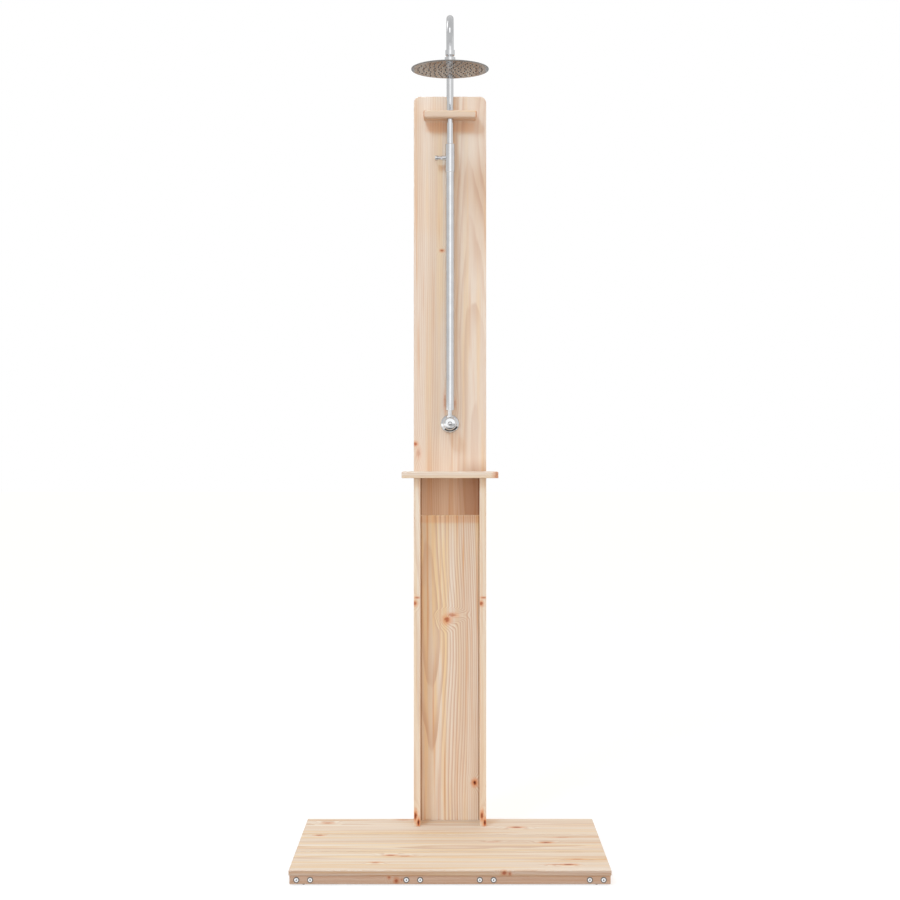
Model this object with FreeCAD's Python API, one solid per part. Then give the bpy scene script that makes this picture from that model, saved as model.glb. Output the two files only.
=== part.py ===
import FreeCAD, Part
import math
import os

# Outdoor shower post: a low wooden tray, a hollow lower post of boards with a shelf on
# it, a tall board behind, and a telescopic steel riser with an overhead rain head.
# Millimetres, +Z up, front towards -Y, left is -X as the user faces the post.
# The origin is on the floor, under the middle of the whole outline.

Vector = FreeCAD.Vector
UP = Vector(0, 0, 1)
DOWN = Vector(0, 0, -1)
BACK = Vector(0, 1, 0)
FRONT = Vector(0, -1, 0)
LEFT = Vector(-1, 0, 0)

# ---- Tray -------------------------------------------------------------------------
tray_width = 800.0
tray_depth = 550.0
deck_thickness = 13.0
deck_board_count = 3
deck_board_seam = 0.6
board_bevel = 1.2
rail_height = 21.5
rail_thickness = 18.0
rail_set_back = 2.0
joist_width = 54.0
outer_joist_inset = 36.5
glide_diameter = 6.0
glide_height = 2.5

# ---- Lower post and shelf ----------------------------------------------------------
panel_width = 203.0
panel_thickness = 18.0
lower_board_height = 855.0
upper_panel_height = 1173.5
panel_corner_radius = 18.0
post_width = 200.0
side_board_thickness = 18.0
side_board_depth = 73.0
side_board_height = 961.0
shelf_width = 266.0
shelf_overhang = 20.0
shelf_thickness = 17.0

# ---- Guide bar ---------------------------------------------------------------------
bar_width = 148.0
bar_depth = 45.0
bar_height = 21.0
bar_rounding = 5.0
bar_drop = 67.5
bar_bore_clearance = 0.6

# ---- Riser -------------------------------------------------------------------------
tube_standoff = 25.0
tube_wall = 1.2
lower_tube_radius = 12.0
sleeve_to_bar_gap = 70.5
upper_tube_radius = 9.5
upper_tube_insertion = 315.0
neck_radius = 6.3
neck_height = 16.0
reducer_flange = 2.0
reducer_spigot = 15.0
water_bore_radius = 5.0
riser_plug_height = 14.0
riser_ring_section = 2.6
running_clearance = 0.05

# ---- Clamp sleeve ------------------------------------------------------------------
sleeve_radius = 13.4
sleeve_length = 78.5
sleeve_overlap = 26.0
sleeve_lip = 3.0
sleeve_lip_clearance = 0.4
bush_radius = 11.6
clamp_drop = 38.5
clamp_boss_radius = 6.6
clamp_boss_reach = 17.0
clamp_knob_reach = 41.3
clamp_knob_radius = 7.0
clamp_waist_radius = 5.4
clamp_screw_radius = 3.0
clamp_screw_grip = 14.0
clamp_pad_radius = 3.6
edge_bevel = 0.7
piece_gap = 0.3

# ---- Gooseneck ---------------------------------------------------------------------
bend_rise = 102.0
bend_radius = 108.0
arm_straight = 64.0
arm_end_straight = 5.8
arm_nut_radius = 12.0
arm_nut_height = 14.5
arm_nut_tube_seat = 7.5

# ---- Swivel joint of the head -------------------------------------------------------
swivel_drop = 13.7
ball_radius = 8.0
ball_neck_radius = 4.5
ball_bore_radius = 3.0
ball_shank_radius = 8.0
seat_wall = 2.1
seat_clearance = 0.1
seat_top = 3.6
seat_bottom = 5.0
collar_radius = 13.8
collar_top = 9.5
collar_mouth_radius = 9.0
collar_skirt = 4.0
spigot_radius = 11.9

# ---- Rain head ---------------------------------------------------------------------
head_radius = 101.5
head_drop = 24.0
head_thickness = 4.0
head_sheet = 1.0
head_rim = 2.5
head_rim_rounding = 1.7
head_boss_flange_radius = 22.0
head_boss_flange = 1.6
nozzle_mat_thickness = 1.0
nozzle_mat_margin = 4.0
nozzle_ring_pitch = 14.0
nozzle_ring_count = 6
nozzle_arc_pitch = 17.0
nozzle_base_radius = 1.9
nozzle_tip_radius = 1.3
nozzle_height = 1.4
nozzle_sides = 6

# ---- Valve -------------------------------------------------------------------------
valve_rise = 133.0
rosette_radius = 26.0
rosette_depth = 8.0
rosette_rounding = 5.0
valve_body_radius = 15.0
valve_body_front = 13.0
outlet_boss_radius = 9.5
outlet_boss_height = 22.0
outlet_seat_depth = 10.0
chamber_radius = 8.0
chamber_back = 12.0
feed_bore_radius = 6.0
tail_radius = 13.2
tail_hole_clearance = 0.6
tail_thread_margin = 1.0
inlet_radius = 10.48
inlet_length = 16.0
inlet_washer_radius = 19.0
inlet_washer_thickness = 2.0
lock_nut_across_flats = 32.0
lock_nut_thickness = 9.0
disc_thickness = 3.0
disc_port_radius = 1.8
disc_port_offset = 4.2
moving_disc_radius = 7.4
stem_radius = 4.0
stem_plate_radius = 7.0
stem_plate_thickness = 2.5
stem_reach = 24.0
bonnet_depth = 7.0
knob_radius = 18.0
knob_back_gap = 0.8
knob_front = 28.0
knob_skirt_clearance = 0.5
knob_rounding = 4.0
knob_button_radius = 6.5
knob_button_depth = 2.0
knob_button_proud = 1.0
knob_screw_radius = 2.0
knob_screw_head_radius = 3.6
knob_screw_length = 10.0

# ---- Screws ------------------------------------------------------------------------
rail_screw_pitch = 34.2
rail_screw_head_radius = 7.5
rail_screw_crown_radius = 5.0
rail_screw_head = 2.2
rail_screw_rim = 0.6
rail_screw_radius = 3.0
rail_screw_length = 45.0
rail_screw_socket = 4.0
rail_screw_socket_depth = 1.6
rail_screw_sides = 12
wood_screw_head_radius = 4.5
wood_screw_crown_radius = 3.0
wood_screw_head = 1.8
wood_screw_radius = 2.0
wood_screw_head_sides = 8
shank_sides = 6
deck_screw_length = 30.0
deck_screw_margin = 32.0
deck_screw_stagger = 6.0
base_screw_length = 62.0
base_screw_margin = 22.0
panel_screw_length = 45.0
panel_screw_margin = 60.0
shelf_screw_x = 60.0
bar_screw_x = 45.0
bar_screw_length = 48.0

# ---- Worked-out places ---------------------------------------------------------------
inlet_reach = inlet_washer_thickness + lock_nut_thickness + tail_thread_margin + inlet_length
front_y = -(tray_depth + inlet_reach) / 2
back_y = front_y + tray_depth
panel_front_y = back_y - panel_thickness
post_front_y = panel_front_y - side_board_depth
tube_y = panel_front_y - tube_standoff

rail_z = glide_height
deck_z = rail_z + rail_height
deck_top_z = deck_z + deck_thickness
shelf_z = deck_top_z + side_board_height
shelf_top_z = shelf_z + shelf_thickness
panel_z = deck_top_z + lower_board_height
panel_top_z = panel_z + upper_panel_height
bar_z = panel_top_z - bar_drop
side_board_x = (post_width - side_board_thickness) / 2
outer_joist_x = tray_width / 2 - outer_joist_inset

valve_z = shelf_top_z + valve_rise
lower_tube_z = valve_z + outlet_boss_height + neck_height + reducer_flange
sleeve_top_z = bar_z - sleeve_to_bar_gap
sleeve_z = sleeve_top_z - sleeve_length
clamp_z = sleeve_top_z - clamp_drop
lower_tube_top_z = sleeve_z + sleeve_overlap
lower_tube_length = lower_tube_top_z - lower_tube_z

upper_tube_z = lower_tube_top_z - upper_tube_insertion
bend_z = bar_z + bar_height + bend_rise
arm_end_z = bend_z - arm_end_straight
arm_nut_z = arm_end_z - (arm_nut_height - arm_nut_tube_seat)
arm_reach = 2 * bend_radius + arm_straight
head_y = tube_y - arm_reach
ball_z = arm_nut_z - swivel_drop
head_z = ball_z - head_drop

lower_tube_bore = lower_tube_radius - tube_wall
upper_tube_bore = upper_tube_radius - tube_wall
seat_radius = ball_radius + seat_wall
cavity_radius = seat_radius + seat_clearance
knob_back = outlet_boss_radius + knob_back_gap
face_radius = head_radius - head_rim


# ---- Tools of the model ----------------------------------------------------------------
def placed(shape, place, direction=UP):
    """A copy of the shape with its own +Z turned to a direction and its origin moved."""
    moved = shape.copy()
    moved.Placement = FreeCAD.Placement(place, FreeCAD.Rotation(UP, direction))
    return moved


def turned(outline):
    """A solid turned about Z from (radius, height) points."""
    points = [Vector(radius, 0, height) for radius, height in outline]
    face = Part.Face(Part.makePolygon(points + points[:1]))
    return face.revolve(Vector(0, 0, 0), UP, 360)


def rounded(solid, radius, height, rounding):
    """Rounds the circular edge of a turned solid at one radius and height."""
    edges = [
        edge for edge in solid.Edges
        if isinstance(edge.Curve, Part.Circle)
        and abs(edge.Curve.Radius - radius) < 1e-6
        and abs(edge.Curve.Center.z - height) < 1e-6
    ]
    return solid.makeFillet(rounding, edges)


def ring(radius, height, sides):
    """A closed many-sided outline round Z at one height."""
    turns = [2 * math.pi * k / sides for k in range(sides + 1)]
    return Part.makePolygon([Vector(radius * math.cos(a), radius * math.sin(a), height) for a in turns])


def faceted(outline, sides):
    """A many-sided solid round Z, straight between its (radius, height) rings."""
    return Part.makeLoft([ring(radius, height, sides) for radius, height in outline], True, True)


def hexagon(across_flats, height):
    """A hexagonal prism that stands on Z = 0."""
    corner = across_flats / 2 / math.cos(math.pi / 6)
    return faceted([(corner, 0), (corner, height)], 6)


def block(width, depth, height, centre_x, low_y, low_z):
    """A box centred on one X, from a front face and an underside."""
    return Part.makeBox(width, depth, height, Vector(centre_x - width / 2, low_y, low_z))


def board(width, depth, height, centre_x, low_y, low_z):
    """A planed board: a box with a small bevel along every edge."""
    plain = block(width, depth, height, centre_x, low_y, low_z)
    return plain.makeChamfer(board_bevel, plain.Edges)


def group(solids):
    return Part.makeCompound(solids)


# ---- Screws ------------------------------------------------------------------------
# Screws have few sides because there are many of them. Their shanks bite straight into
# the boards, which have no holes for them, and their heads lie on the wood.
def shank(radius, length):
    return faceted([(radius, 0), (radius, length - 2 * radius), (radius / 4, length)], shank_sides)


def rail_screw():
    """Flange screw with a hexagon socket: head below Z = 0, shank up along Z."""
    head = faceted([
        (rail_screw_crown_radius, -rail_screw_head),
        (rail_screw_head_radius, -rail_screw_rim),
        (rail_screw_head_radius, 0),
    ], rail_screw_sides)
    socket = hexagon(rail_screw_socket, rail_screw_socket_depth)
    head = head.cut(placed(socket, Vector(0, 0, -rail_screw_head)))
    return head.fuse(shank(rail_screw_radius, rail_screw_length))


def wood_screw(length):
    """Low-headed wood screw: head below Z = 0, pointed shank up along Z."""
    head = faceted(
        [(wood_screw_crown_radius, -wood_screw_head), (wood_screw_head_radius, 0)],
        wood_screw_head_sides,
    )
    return head.fuse(shank(wood_screw_radius, length))


def joist_places():
    """X of the joists: the outer pair by the tray's ends, the inner pair under the post."""
    return {
        "joist_outer_left": -outer_joist_x,
        "joist_inner_left": -side_board_x,
        "joist_inner_right": side_board_x,
        "joist_outer_right": outer_joist_x,
    }


def rail_screws(face_y, direction):
    screw = rail_screw()
    places = [
        Vector(x + side * rail_screw_pitch / 2, face_y, rail_z + rail_height / 2)
        for x in joist_places().values()
        for side in (-1, 1)
    ]
    return [placed(screw, place, direction) for place in places]


def deck_board_rows():
    """Front edge of each deck board, and the depth that all of them share."""
    depth = (tray_depth - (deck_board_count - 1) * deck_board_seam) / deck_board_count
    return [front_y + k * (depth + deck_board_seam) for k in range(deck_board_count)], depth


def deck_screws():
    """Two staggered screws from below where each joist crosses each deck board."""
    rows, depth = deck_board_rows()
    screw = wood_screw(deck_screw_length)
    reach = depth / 2 - deck_screw_margin
    return [
        placed(screw, Vector(x + side * deck_screw_stagger, row + depth / 2 + side * reach, rail_z))
        for x in joist_places().values()
        for row in rows
        for side in (-1, 1)
    ]


def post_base_screws():
    """Two long screws from below into each side board's foot."""
    screw = wood_screw(base_screw_length)
    return [
        placed(screw, Vector(side * side_board_x, y, rail_z))
        for side in (-1, 1)
        for y in (post_front_y + base_screw_margin, panel_front_y - base_screw_margin)
    ]


def panel_screws():
    """Screws from behind through both back boards into the side boards."""
    screw = wood_screw(panel_screw_length)
    heights = [
        deck_top_z + panel_screw_margin,
        deck_top_z + lower_board_height / 2,
        panel_z - panel_screw_margin,
        panel_z + panel_screw_margin,
    ]
    return [
        placed(screw, Vector(side * side_board_x, back_y, z), FRONT)
        for side in (-1, 1)
        for z in heights
    ]


def shelf_screws():
    screw = wood_screw(panel_screw_length)
    height = shelf_z + shelf_thickness / 2
    return [placed(screw, Vector(side * shelf_screw_x, back_y, height), FRONT) for side in (-1, 1)]


def guide_bar_screws():
    screw = wood_screw(bar_screw_length)
    height = bar_z + bar_height / 2
    return [placed(screw, Vector(side * bar_screw_x, back_y, height), FRONT) for side in (-1, 1)]


# ---- Tray --------------------------------------------------------------------------
def foot_glides():
    """Flat round glides under the rails' ends."""
    glide = Part.makeCylinder(glide_diameter / 2, glide_height)
    inset = rail_set_back + rail_thickness / 2
    return [
        placed(glide, Vector(x, y, 0))
        for x in (-outer_joist_x, outer_joist_x)
        for y in (front_y + inset, back_y - inset)
    ]


def tray():
    """Deck boards on two rails and four flat joists, all screwed from outside or below."""
    nodes = {}
    rows, depth = deck_board_rows()
    names = ["front", "middle", "back"][:deck_board_count]
    for name, row in zip(names, rows):
        nodes["deck_board_" + name] = board(tray_width, depth, deck_thickness, 0, row, deck_z)

    rail_width = tray_width - 2 * rail_set_back
    rail_front_y = front_y + rail_set_back
    rail_back_y = back_y - rail_set_back
    nodes["front_rail"] = board(rail_width, rail_thickness, rail_height, 0, rail_front_y, rail_z)
    nodes["back_rail"] = board(
        rail_width, rail_thickness, rail_height, 0, rail_back_y - rail_thickness, rail_z
    )
    joist_y = rail_front_y + rail_thickness
    joist_length = rail_back_y - rail_thickness - joist_y
    for name, x in joist_places().items():
        nodes[name] = board(joist_width, joist_length, rail_height, x, joist_y, rail_z)

    nodes["front_rail_screws"] = group(rail_screws(rail_front_y, BACK))
    nodes["back_rail_screws"] = group(rail_screws(rail_back_y, FRONT))
    nodes["deck_screws"] = group(deck_screws())
    nodes["post_base_screws"] = group(post_base_screws())
    nodes["foot_glides"] = group(foot_glides())
    return nodes


# ---- Wooden post ---------------------------------------------------------------------
def upper_panel():
    """Tall back board with rounded top corners and a hole for the valve's tail."""
    plain = block(panel_width, panel_thickness, upper_panel_height, 0, panel_front_y, panel_z)
    corners = [
        edge for edge in plain.Edges
        if abs(edge.BoundBox.YLength - panel_thickness) < 1e-6
        and edge.BoundBox.ZMin > panel_z + upper_panel_height / 2
    ]
    plain = plain.makeFillet(panel_corner_radius, corners)
    outline = [
        edge for edge in plain.Edges
        if edge.BoundBox.YLength < 1e-6
    ]
    plain = plain.makeChamfer(board_bevel, outline)
    hole = Part.makeCylinder(
        tail_radius + tail_hole_clearance, panel_thickness, Vector(0, panel_front_y, valve_z), BACK
    )
    return plain.cut(hole)


def guide_bar():
    """Rounded bar across the panel, bored for the upper tube."""
    low_y = panel_front_y - bar_depth
    plain = block(bar_width, bar_depth, bar_height, 0, low_y, bar_z)
    free_edges = [edge for edge in plain.Edges if edge.BoundBox.YMin < panel_front_y - 1e-3]
    plain = plain.makeFillet(bar_rounding, free_edges)
    bore = Part.makeCylinder(
        upper_tube_radius + bar_bore_clearance, bar_height, Vector(0, tube_y, bar_z), UP
    )
    return plain.cut(bore)


def wooden_post():
    """Side boards on the deck, back boards behind them, shelf on top and guide bar above."""
    nodes = {}
    for name, x in (("left_side_board", -side_board_x), ("right_side_board", side_board_x)):
        nodes[name] = board(
            side_board_thickness, side_board_depth, side_board_height, x, post_front_y, deck_top_z
        )
    nodes["lower_back_board"] = board(
        panel_width, panel_thickness, lower_board_height, 0, panel_front_y, deck_top_z
    )
    nodes["upper_back_panel"] = upper_panel()
    shelf_depth = side_board_depth + shelf_overhang
    nodes["shelf_board"] = board(
        shelf_width, shelf_depth, shelf_thickness, 0, panel_front_y - shelf_depth, shelf_z
    )
    nodes["tube_guide_bar"] = guide_bar()
    nodes["back_board_screws"] = group(panel_screws())
    nodes["shelf_screws"] = group(shelf_screws())
    nodes["guide_bar_screws"] = group(guide_bar_screws())
    return nodes


# ---- Riser ---------------------------------------------------------------------------
def at_riser(shape, height):
    return placed(shape, Vector(0, tube_y, height))


def tube_reducer():
    """Foot of the lower tube: spigot in the tube, flange under it and a narrow neck."""
    neck_bottom = -(reducer_flange + neck_height + outlet_seat_depth)
    return turned([
        (water_bore_radius, neck_bottom),
        (neck_radius, neck_bottom),
        (neck_radius, -reducer_flange),
        (lower_tube_radius, -reducer_flange),
        (lower_tube_radius, 0),
        (lower_tube_bore, 0),
        (lower_tube_bore, reducer_spigot),
        (water_bore_radius, reducer_spigot),
    ])


def clamp_cross_hole(radius):
    """Straight tool from the riser's axis out through the sleeve's left side."""
    return Part.makeCylinder(radius, clamp_knob_reach, Vector(0, tube_y, clamp_z), LEFT)


def clamp_sleeve():
    """Sleeve on the lower tube's end with a pocket for the bush and a boss for the screw."""
    lip_radius = upper_tube_radius + sleeve_lip_clearance
    sleeve = turned([
        (lower_tube_radius, 0),
        (sleeve_radius - edge_bevel, 0),
        (sleeve_radius, edge_bevel),
        (sleeve_radius, sleeve_length - edge_bevel),
        (sleeve_radius - edge_bevel, sleeve_length),
        (lip_radius, sleeve_length),
        (lip_radius, sleeve_length - sleeve_lip),
        (bush_radius, sleeve_length - sleeve_lip),
        (bush_radius, sleeve_overlap),
        (lower_tube_radius, sleeve_overlap),
    ])
    sleeve = at_riser(sleeve, sleeve_z)
    boss = Part.makeCylinder(clamp_boss_radius, clamp_boss_reach, Vector(0, tube_y, clamp_z), LEFT)
    core = Part.makeCylinder(bush_radius, sleeve_length, Vector(0, tube_y, sleeve_z), UP)
    sleeve = sleeve.fuse(boss.cut(core)).removeSplitter()
    return sleeve.cut(clamp_cross_hole(clamp_screw_radius + running_clearance))


def plain_bush():
    height = sleeve_length - sleeve_lip - sleeve_overlap
    bush = turned([
        (upper_tube_radius + running_clearance, 0),
        (bush_radius, 0),
        (bush_radius, height),
        (upper_tube_radius + running_clearance, height),
    ])
    return at_riser(bush, lower_tube_top_z)


def guide_bush():
    """Plastic bush between the sleeve and the upper tube, holed for the clamp pad."""
    return plain_bush().cut(clamp_cross_hole(clamp_pad_radius))


def clamp_pad():
    """Pad between the screw's tip and the tube, curved to both of its sides."""
    pad = plain_bush().common(clamp_cross_hole(clamp_pad_radius - running_clearance))
    relief = Part.makeCylinder(
        upper_tube_radius + piece_gap, sleeve_length, Vector(0, tube_y, sleeve_z), UP
    )
    return pad.cut(relief)


def clamp_knob():
    """Waisted thumb knob on the clamp screw, along -X."""
    length = clamp_knob_reach - clamp_boss_reach - piece_gap
    knob = turned([
        (clamp_screw_radius, 0),
        (clamp_boss_radius, 0),
        (clamp_boss_radius, length * 0.15),
        (clamp_waist_radius, length * 0.35),
        (clamp_waist_radius, length * 0.6),
        (clamp_knob_radius, length * 0.8),
        (clamp_knob_radius, length - edge_bevel),
        (clamp_knob_radius - edge_bevel, length),
        (0, length),
        (0, clamp_screw_grip),
        (clamp_screw_radius, clamp_screw_grip),
    ])
    return placed(knob, Vector(-clamp_boss_reach - piece_gap, tube_y, clamp_z), LEFT)


def clamp_screw():
    """Threaded pin of the knob, from the pad out into the knob."""
    tip = bush_radius + piece_gap
    length = clamp_boss_reach + piece_gap + clamp_screw_grip - tip
    return Part.makeCylinder(clamp_screw_radius, length, Vector(-tip, tube_y, clamp_z), LEFT)


def riser_plug():
    """Sliding plug in the lower tube, with a spigot that the upper tube turns on."""
    body = lower_tube_bore - running_clearance
    spigot = upper_tube_bore - running_clearance
    groove = body - riser_ring_section
    return turned([
        (water_bore_radius, -riser_plug_height),
        (body, -riser_plug_height),
        (body, -riser_plug_height / 2 - riser_ring_section / 2),
        (groove, -riser_plug_height / 2 - riser_ring_section / 2),
        (groove, -riser_plug_height / 2 + riser_ring_section / 2),
        (body, -riser_plug_height / 2 + riser_ring_section / 2),
        (body, -piece_gap),
        (spigot, -piece_gap),
        (spigot, riser_plug_height),
        (water_bore_radius, riser_plug_height),
    ])


def riser_seal_ring():
    """Seal ring in the plug's groove."""
    body = lower_tube_bore - running_clearance
    middle = -riser_plug_height / 2
    half = riser_ring_section / 2
    return turned([
        (body - riser_ring_section, middle - half),
        (body, middle - half),
        (body, middle + half),
        (body - riser_ring_section, middle + half),
    ])


def tube_ring(place, direction):
    """The upper tube's ring-shaped section, square to a direction."""
    circles = [
        Part.Wire(Part.makeCircle(radius, place, direction))
        for radius in (upper_tube_radius, upper_tube_bore)
    ]
    return Part.Face(circles)


def upper_riser_tube():
    """Straight tube with a gooseneck: two quarter bends and a short level run."""
    level_z = bend_z + bend_radius
    level_y = tube_y - bend_radius
    upright = tube_ring(Vector(0, tube_y, upper_tube_z), UP)
    bend_start = tube_ring(Vector(0, tube_y, bend_z), UP)
    level = tube_ring(Vector(0, level_y, level_z), FRONT)
    drop = tube_ring(Vector(0, head_y, bend_z), DOWN)
    runs = [
        upright.extrude(UP * (bend_z - upper_tube_z)),
        bend_start.revolve(Vector(0, level_y, bend_z), Vector(1, 0, 0), 90),
        level.extrude(FRONT * arm_straight),
        level.translated(FRONT * arm_straight).revolve(
            Vector(0, level_y - arm_straight, bend_z), Vector(1, 0, 0), 90
        ),
        drop.extrude(DOWN * arm_end_straight),
    ]
    return runs[0].multiFuse(runs[1:]).removeSplitter()


def riser():
    foot = lower_tube_z
    lower_tube = turned([
        (lower_tube_bore, 0),
        (lower_tube_radius, 0),
        (lower_tube_radius, lower_tube_length),
        (lower_tube_bore, lower_tube_length),
    ])
    return {
        "tube_foot_reducer": at_riser(tube_reducer(), foot),
        "lower_riser_tube": at_riser(lower_tube, foot),
        "clamp_sleeve": clamp_sleeve(),
        "sleeve_guide_bush": guide_bush(),
        "clamp_pad": clamp_pad(),
        "clamp_knob": clamp_knob(),
        "clamp_screw": clamp_screw(),
        "riser_plug": at_riser(riser_plug(), upper_tube_z),
        "riser_seal_ring": at_riser(riser_seal_ring(), upper_tube_z),
        "upper_riser_tube": upper_riser_tube(),
    }


# ---- Swivel joint and rain head --------------------------------------------------------
def at_head(shape, height):
    return placed(shape, Vector(0, head_y, height))


def arm_end_nut():
    """Nut on the gooseneck's end: the tube seats in its top, the swivel in its bottom."""
    seat = arm_nut_height - arm_nut_tube_seat
    return turned([
        (ball_shank_radius, 0),
        (arm_nut_radius - edge_bevel, 0),
        (arm_nut_radius, edge_bevel),
        (arm_nut_radius, arm_nut_height - edge_bevel),
        (arm_nut_radius - edge_bevel, arm_nut_height),
        (upper_tube_radius, arm_nut_height),
        (upper_tube_radius, seat),
        (ball_shank_radius, seat),
    ])


def swivel_ball():
    """Ball, neck and threaded shank in one piece, bored for the water."""
    shank_top = swivel_drop + arm_nut_height - arm_nut_tube_seat
    stalk = turned([
        (0, 0),
        (ball_neck_radius, 0),
        (ball_neck_radius, swivel_drop),
        (ball_shank_radius, swivel_drop),
        (ball_shank_radius, shank_top),
        (0, shank_top),
    ])
    ball = Part.makeSphere(ball_radius).fuse(stalk)
    bore = Part.makeCylinder(ball_bore_radius, ball_radius + shank_top, Vector(0, 0, -ball_radius))
    return ball.cut(bore)


def ball_seat():
    """Plastic seat: a slice of a hollow sphere that grips the ball above and below."""
    shell = Part.makeSphere(seat_radius).cut(Part.makeSphere(ball_radius + seat_clearance))
    slab = Part.makeCylinder(seat_radius, seat_top + seat_bottom, Vector(0, 0, -seat_bottom))
    return shell.common(slab)


def socket_collar():
    """Ring nut over the seat, open at the top for the ball's neck."""
    collar = turned([
        (0, -collar_skirt),
        (collar_radius, -collar_skirt),
        (collar_radius, collar_top - 1.5),
        (collar_radius - 1.5, collar_top),
        (0, collar_top),
    ])
    thread = Part.makeCylinder(spigot_radius, collar_skirt, Vector(0, 0, -collar_skirt))
    mouth = Part.makeCylinder(collar_mouth_radius, collar_top)
    return collar.cut(thread).cut(mouth).cut(Part.makeSphere(cavity_radius))


def head_boss():
    """Cone from the head's top up to the spigot that the collar is screwed on."""
    base = head_thickness - head_drop
    boss = turned([
        (0, base),
        (head_boss_flange_radius, base),
        (head_boss_flange_radius, base + head_boss_flange),
        (collar_radius, -collar_skirt - piece_gap),
        (spigot_radius, -collar_skirt - piece_gap),
        (spigot_radius, 0),
        (0, 0),
    ])
    way = Part.makeCylinder(water_bore_radius, head_drop, Vector(0, 0, -head_drop))
    return boss.cut(Part.makeSphere(cavity_radius)).cut(way)


def head_top_shell():
    """Pressed top sheet with a rounded rim turned down round the face plate."""
    under = head_thickness - head_sheet
    shell = turned([
        (water_bore_radius, under),
        (face_radius, under),
        (face_radius, 0),
        (head_radius, 0),
        (head_radius, head_thickness),
        (water_bore_radius, head_thickness),
    ])
    shell = rounded(shell, head_radius, 0, head_rim_rounding)
    return rounded(shell, head_radius, head_thickness, head_rim_rounding)


def nozzle_places():
    """Centre nozzle and rings round it, each filled at the same spacing along the arc."""
    places = [Vector(0, 0, 0)]
    for ring in range(1, nozzle_ring_count + 1):
        radius = ring * nozzle_ring_pitch
        count = round(2 * math.pi * radius / nozzle_arc_pitch)
        for k in range(count):
            angle = 2 * math.pi * k / count
            places.append(Vector(radius * math.cos(angle), radius * math.sin(angle), 0))
    return places


def nozzle_tip():
    """One soft nozzle tip that tapers downwards from the face plate."""
    return faceted([(nozzle_tip_radius, -nozzle_height), (nozzle_base_radius, 0)], nozzle_sides)


def rain_head():
    tip = nozzle_tip()
    face = Part.makeCylinder(face_radius, head_sheet)
    mat = Part.makeCylinder(face_radius - nozzle_mat_margin, nozzle_mat_thickness)
    tips = [at_head(tip, head_z).translated(place) for place in nozzle_places()]
    return {
        "arm_end_nut": at_head(arm_end_nut(), arm_nut_z),
        "swivel_ball": at_head(swivel_ball(), ball_z),
        "ball_seat_ring": at_head(ball_seat(), ball_z),
        "socket_collar": at_head(socket_collar(), ball_z),
        "head_inlet_boss": at_head(head_boss(), ball_z),
        "head_top_shell": at_head(head_top_shell(), head_z),
        "head_face_plate": at_head(face, head_z),
        "nozzle_mat": at_head(mat, head_z + head_sheet),
        "nozzle_tips": group(tips),
    }


# ---- Valve ---------------------------------------------------------------------------
def at_valve(shape, depth):
    """Places a shape turned about Z with its own +Z to the back, depth behind the tube."""
    return placed(shape, Vector(0, tube_y + depth, valve_z), BACK)


def valve_body():
    """Cast body with an outlet boss on top and a threaded tail through the panel."""
    panel_front = tube_standoff
    panel_back = panel_front + panel_thickness
    tail_end = panel_back + inlet_washer_thickness + lock_nut_thickness + tail_thread_margin
    inlet_end = tail_end + inlet_length
    body = turned([
        (0, -valve_body_front),
        (valve_body_radius, -valve_body_front),
        (valve_body_radius, panel_front),
        (tail_radius, panel_front),
        (tail_radius, tail_end),
        (inlet_radius, tail_end),
        (inlet_radius, inlet_end),
        (0, inlet_end),
    ])
    body = at_valve(body, 0)
    boss = Part.makeCylinder(outlet_boss_radius, outlet_boss_height, Vector(0, tube_y, valve_z), UP)
    body = body.fuse(boss).removeSplitter()
    ways = [
        at_valve(Part.makeCylinder(chamber_radius, valve_body_front + chamber_back), -valve_body_front),
        at_valve(Part.makeCylinder(feed_bore_radius, inlet_end - chamber_back), chamber_back),
        at_riser(Part.makeCylinder(water_bore_radius, outlet_boss_height), valve_z),
        at_riser(
            Part.makeCylinder(neck_radius, outlet_seat_depth),
            valve_z + outlet_boss_height - outlet_seat_depth,
        ),
    ]
    return body.cut(group(ways))


def ceramic_disc(radius, turn):
    """Ceramic disc with two ports across its middle."""
    disc = Part.makeCylinder(radius, disc_thickness)
    across = Vector(disc_port_offset * math.cos(turn), disc_port_offset * math.sin(turn), 0)
    ports = [Part.makeCylinder(disc_port_radius, disc_thickness, across * side) for side in (-1, 1)]
    return disc.cut(group(ports))


def valve_knob():
    """Round knob: skirt over the body's end, rounded front with a seat for the button."""
    pocket = valve_body_radius + knob_skirt_clearance
    floor = valve_body_front + knob_skirt_clearance
    button_seat = knob_front - knob_button_depth
    stem_end = stem_reach
    knob = turned([
        (pocket, knob_back),
        (knob_radius, knob_back),
        (knob_radius, knob_front),
        (knob_button_radius, knob_front),
        (knob_button_radius, button_seat),
        (knob_screw_head_radius, button_seat),
        (knob_screw_head_radius, stem_end),
        (stem_radius, stem_end),
        (stem_radius, floor),
        (pocket, floor),
    ])
    knob = rounded(knob, knob_radius, knob_front, knob_rounding)
    return placed(knob, Vector(0, tube_y, valve_z), FRONT)


def valve_stem():
    """Stem from the moving disc's drive plate out into the knob, drilled for its screw."""
    plate_back = chamber_back - 2 * disc_thickness - running_clearance
    plate_front = plate_back - stem_plate_thickness
    stem = turned([
        (0, -stem_reach),
        (stem_radius, -stem_reach),
        (stem_radius, plate_front),
        (stem_plate_radius, plate_front),
        (stem_plate_radius, plate_back),
        (0, plate_back),
    ])
    return at_valve(stem, 0).cut(knob_screw())


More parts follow.
